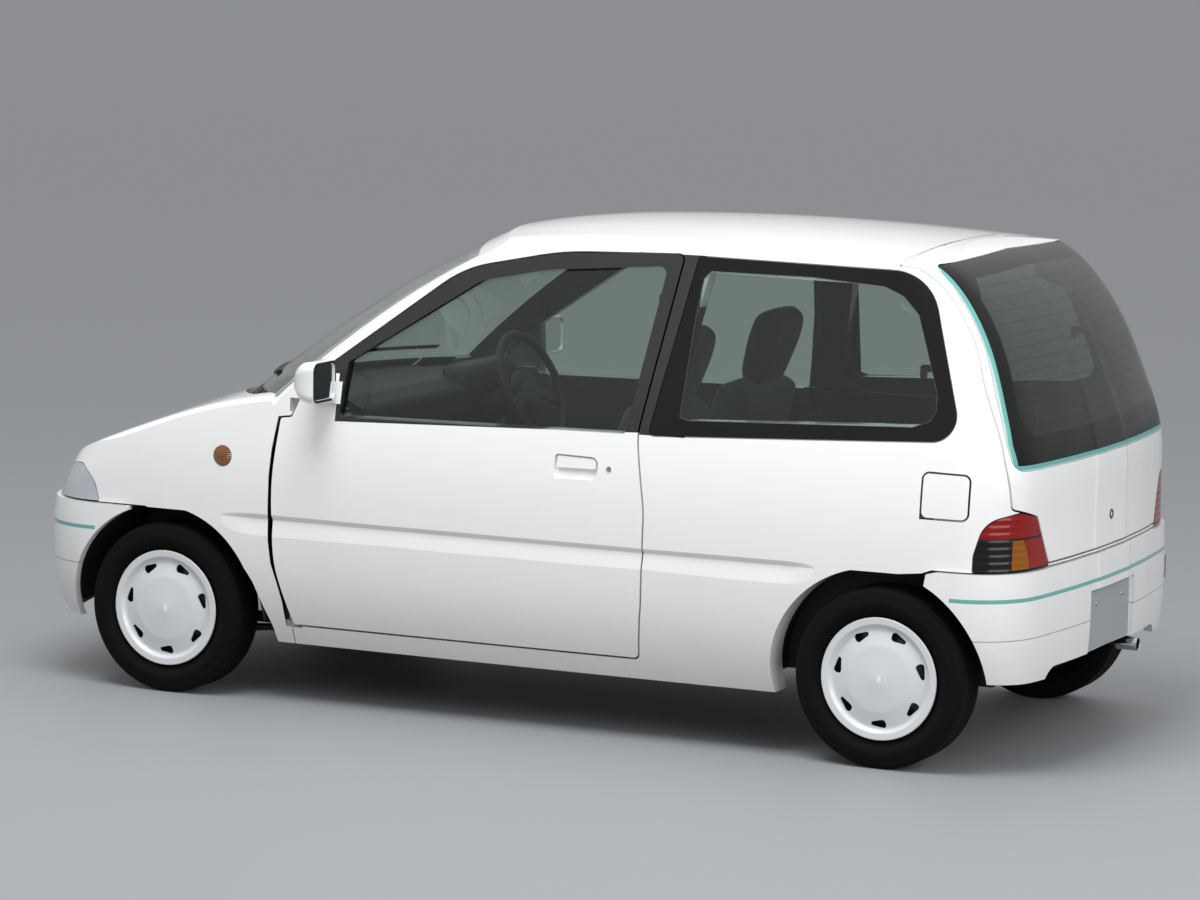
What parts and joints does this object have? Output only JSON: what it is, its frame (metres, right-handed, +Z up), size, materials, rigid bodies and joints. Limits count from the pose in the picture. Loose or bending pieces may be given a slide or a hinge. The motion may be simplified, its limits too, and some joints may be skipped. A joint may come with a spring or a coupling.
{
  "type": "three-door hatchback car",
  "caption": "Small three-door hatchback car with a hollow cabin, steering front wheels, side doors, bonnet, tailgate and fuel flap that open.",
  "frame": {"origin": "on the ground under the middle of the car's length", "axes": "+X forward, +Y to the car's left, +Z up"},
  "size_m": [3.255, 1.6164, 1.4298],
  "materials": {
    "body_paint": "smooth gloss white paint",
    "body_plastic": "gloss white painted plastic",
    "black_plastic": "black moulded plastic",
    "trim_plastic": "dark grey grained plastic",
    "wheel_trim": "dark soft-feel plastic",
    "seat_cloth": "grey woven cloth",
    "glass": "clear glass",
    "lamp_lens": "clear lamp lens over a bright reflector",
    "tail_lens": "red and amber lens",
    "amber_lens": "amber lens",
    "cast_metal": "cast metal",
    "underbody_steel": "dark coated steel",
    "plate_metal": "plain blank plate",
    "tyre": "black tread rubber",
    "wheel_cover": "off-white painted wheel cover on a steel rim"
  },
  "bodies": {
    "body": {"side_frame_left": "body_paint", "side_frame_right": "body_paint", "floor_pan": "body_paint", "roof_panel": "body_paint", "bulkhead": "body_paint", "cowl": "black_plastic", "front_structure": "body_paint", "nose_panel": "body_paint", "bumper_front": "body_plastic", "bumper_rear": "body_plastic", "headlamps": "lamp_lens", "tail_lamps": "tail_lens", "repeaters": "amber_lens", "windscreen": "glass", "quarter_glasses": "glass", "dashboard": "trim_plastic", "steering_column": "trim_plastic", "front_seats": "seat_cloth", "rear_seat": "seat_cloth", "cabin_mirror": "trim_plastic", "engine_block": "cast_metal", "fuel_tank": "underbody_steel", "exhaust": "underbody_steel", "front_suspension": "underbody_steel", "rear_axle": "underbody_steel", "wipers": "black_plastic", "number_plate": "plate_metal", "wing_left": "body_paint", "wing_right": "body_paint"},
    "bonnet": {"bonnet": "body_paint"},
    "tailgate": {"tailgate": "body_paint", "tailgate_glass": "glass"},
    "fuel_flap": {"fuel_flap": "body_paint"},
    "steering_wheel": {"steering_wheel": "wheel_trim"},
    "door_left": {"door_left": "body_paint", "door_glass_left": "glass", "door_mirror_left": "body_plastic"},
    "knuckle_left": {"knuckle_left": "underbody_steel"},
    "front_wheel_left": {"tyre_front_left": "tyre", "wheel_front_left": "wheel_cover"},
    "rear_wheel_left": {"tyre_rear_left": "tyre", "wheel_rear_left": "wheel_cover"},
    "door_right": {"door_right": "body_paint", "door_glass_right": "glass", "door_mirror_right": "body_plastic"},
    "knuckle_right": {"knuckle_right": "underbody_steel"},
    "front_wheel_right": {"tyre_front_right": "tyre", "wheel_front_right": "wheel_cover"},
    "rear_wheel_right": {"tyre_rear_right": "tyre", "wheel_rear_right": "wheel_cover"}
  },
  "joints": [
    {"name": "steer_left", "type": "hinge", "parent": "body", "child": "knuckle_left", "pos_m": [1.0675, 0.57, 0.25], "axis": [0, 0, 1], "range_deg": [-33, 33]},
    {"name": "spin_front_left", "type": "hinge", "parent": "knuckle_left", "child": "front_wheel_left", "pos_m": [1.0675, 0.61, 0.25], "axis": [0, 1, 0], "continuous": true},
    {"name": "spin_rear_left", "type": "hinge", "parent": "body", "child": "rear_wheel_left", "pos_m": [-1.1925, 0.61, 0.25], "axis": [0, 1, 0], "continuous": true},
    {"name": "open_door_left", "type": "hinge", "parent": "body", "child": "door_left", "pos_m": [0.6375, 0.65, 0.55], "axis": [0, 0, -1], "range_deg": [0, 65]},
    {"name": "steer_right", "type": "hinge", "parent": "body", "child": "knuckle_right", "pos_m": [1.0675, -0.57, 0.25], "axis": [0, 0, 1], "range_deg": [-33, 33]},
    {"name": "spin_front_right", "type": "hinge", "parent": "knuckle_right", "child": "front_wheel_right", "pos_m": [1.0675, -0.61, 0.25], "axis": [0, 1, 0], "continuous": true},
    {"name": "spin_rear_right", "type": "hinge", "parent": "body", "child": "rear_wheel_right", "pos_m": [-1.1925, -0.61, 0.25], "axis": [0, 1, 0], "continuous": true},
    {"name": "open_door_right", "type": "hinge", "parent": "body", "child": "door_right", "pos_m": [0.6375, -0.65, 0.55], "axis": [0, 0, 1], "range_deg": [0, 65]},
    {"name": "turn_steering_wheel", "type": "hinge", "parent": "body", "child": "steering_wheel", "pos_m": [0.3675, -0.315, 0.85], "axis": [-0.9135, 0, 0.4067], "range_deg": [-560, 560]},
    {"name": "open_bonnet", "type": "hinge", "parent": "body", "child": "bonnet", "pos_m": [0.8275, 0, 0.852], "axis": [0, -1, 0], "range_deg": [0, 50]},
    {"name": "open_tailgate", "type": "hinge", "parent": "body", "child": "tailgate", "pos_m": [-1.1845, 0, 1.38885], "axis": [0, 1, 0], "range_deg": [0, 80]},
    {"name": "open_fuel_flap", "type": "hinge", "parent": "body", "child": "fuel_flap", "pos_m": [-1.3135, 0.65274, 0.765], "axis": [0, 0, -1], "range_deg": [0, 60]}
  ],
  "couplings": [
    {"joint": "steer_right", "follows": "steer_left", "ratio": 1},
    {"joint": "turn_steering_wheel", "follows": "steer_left", "ratio": 16}
  ]
}
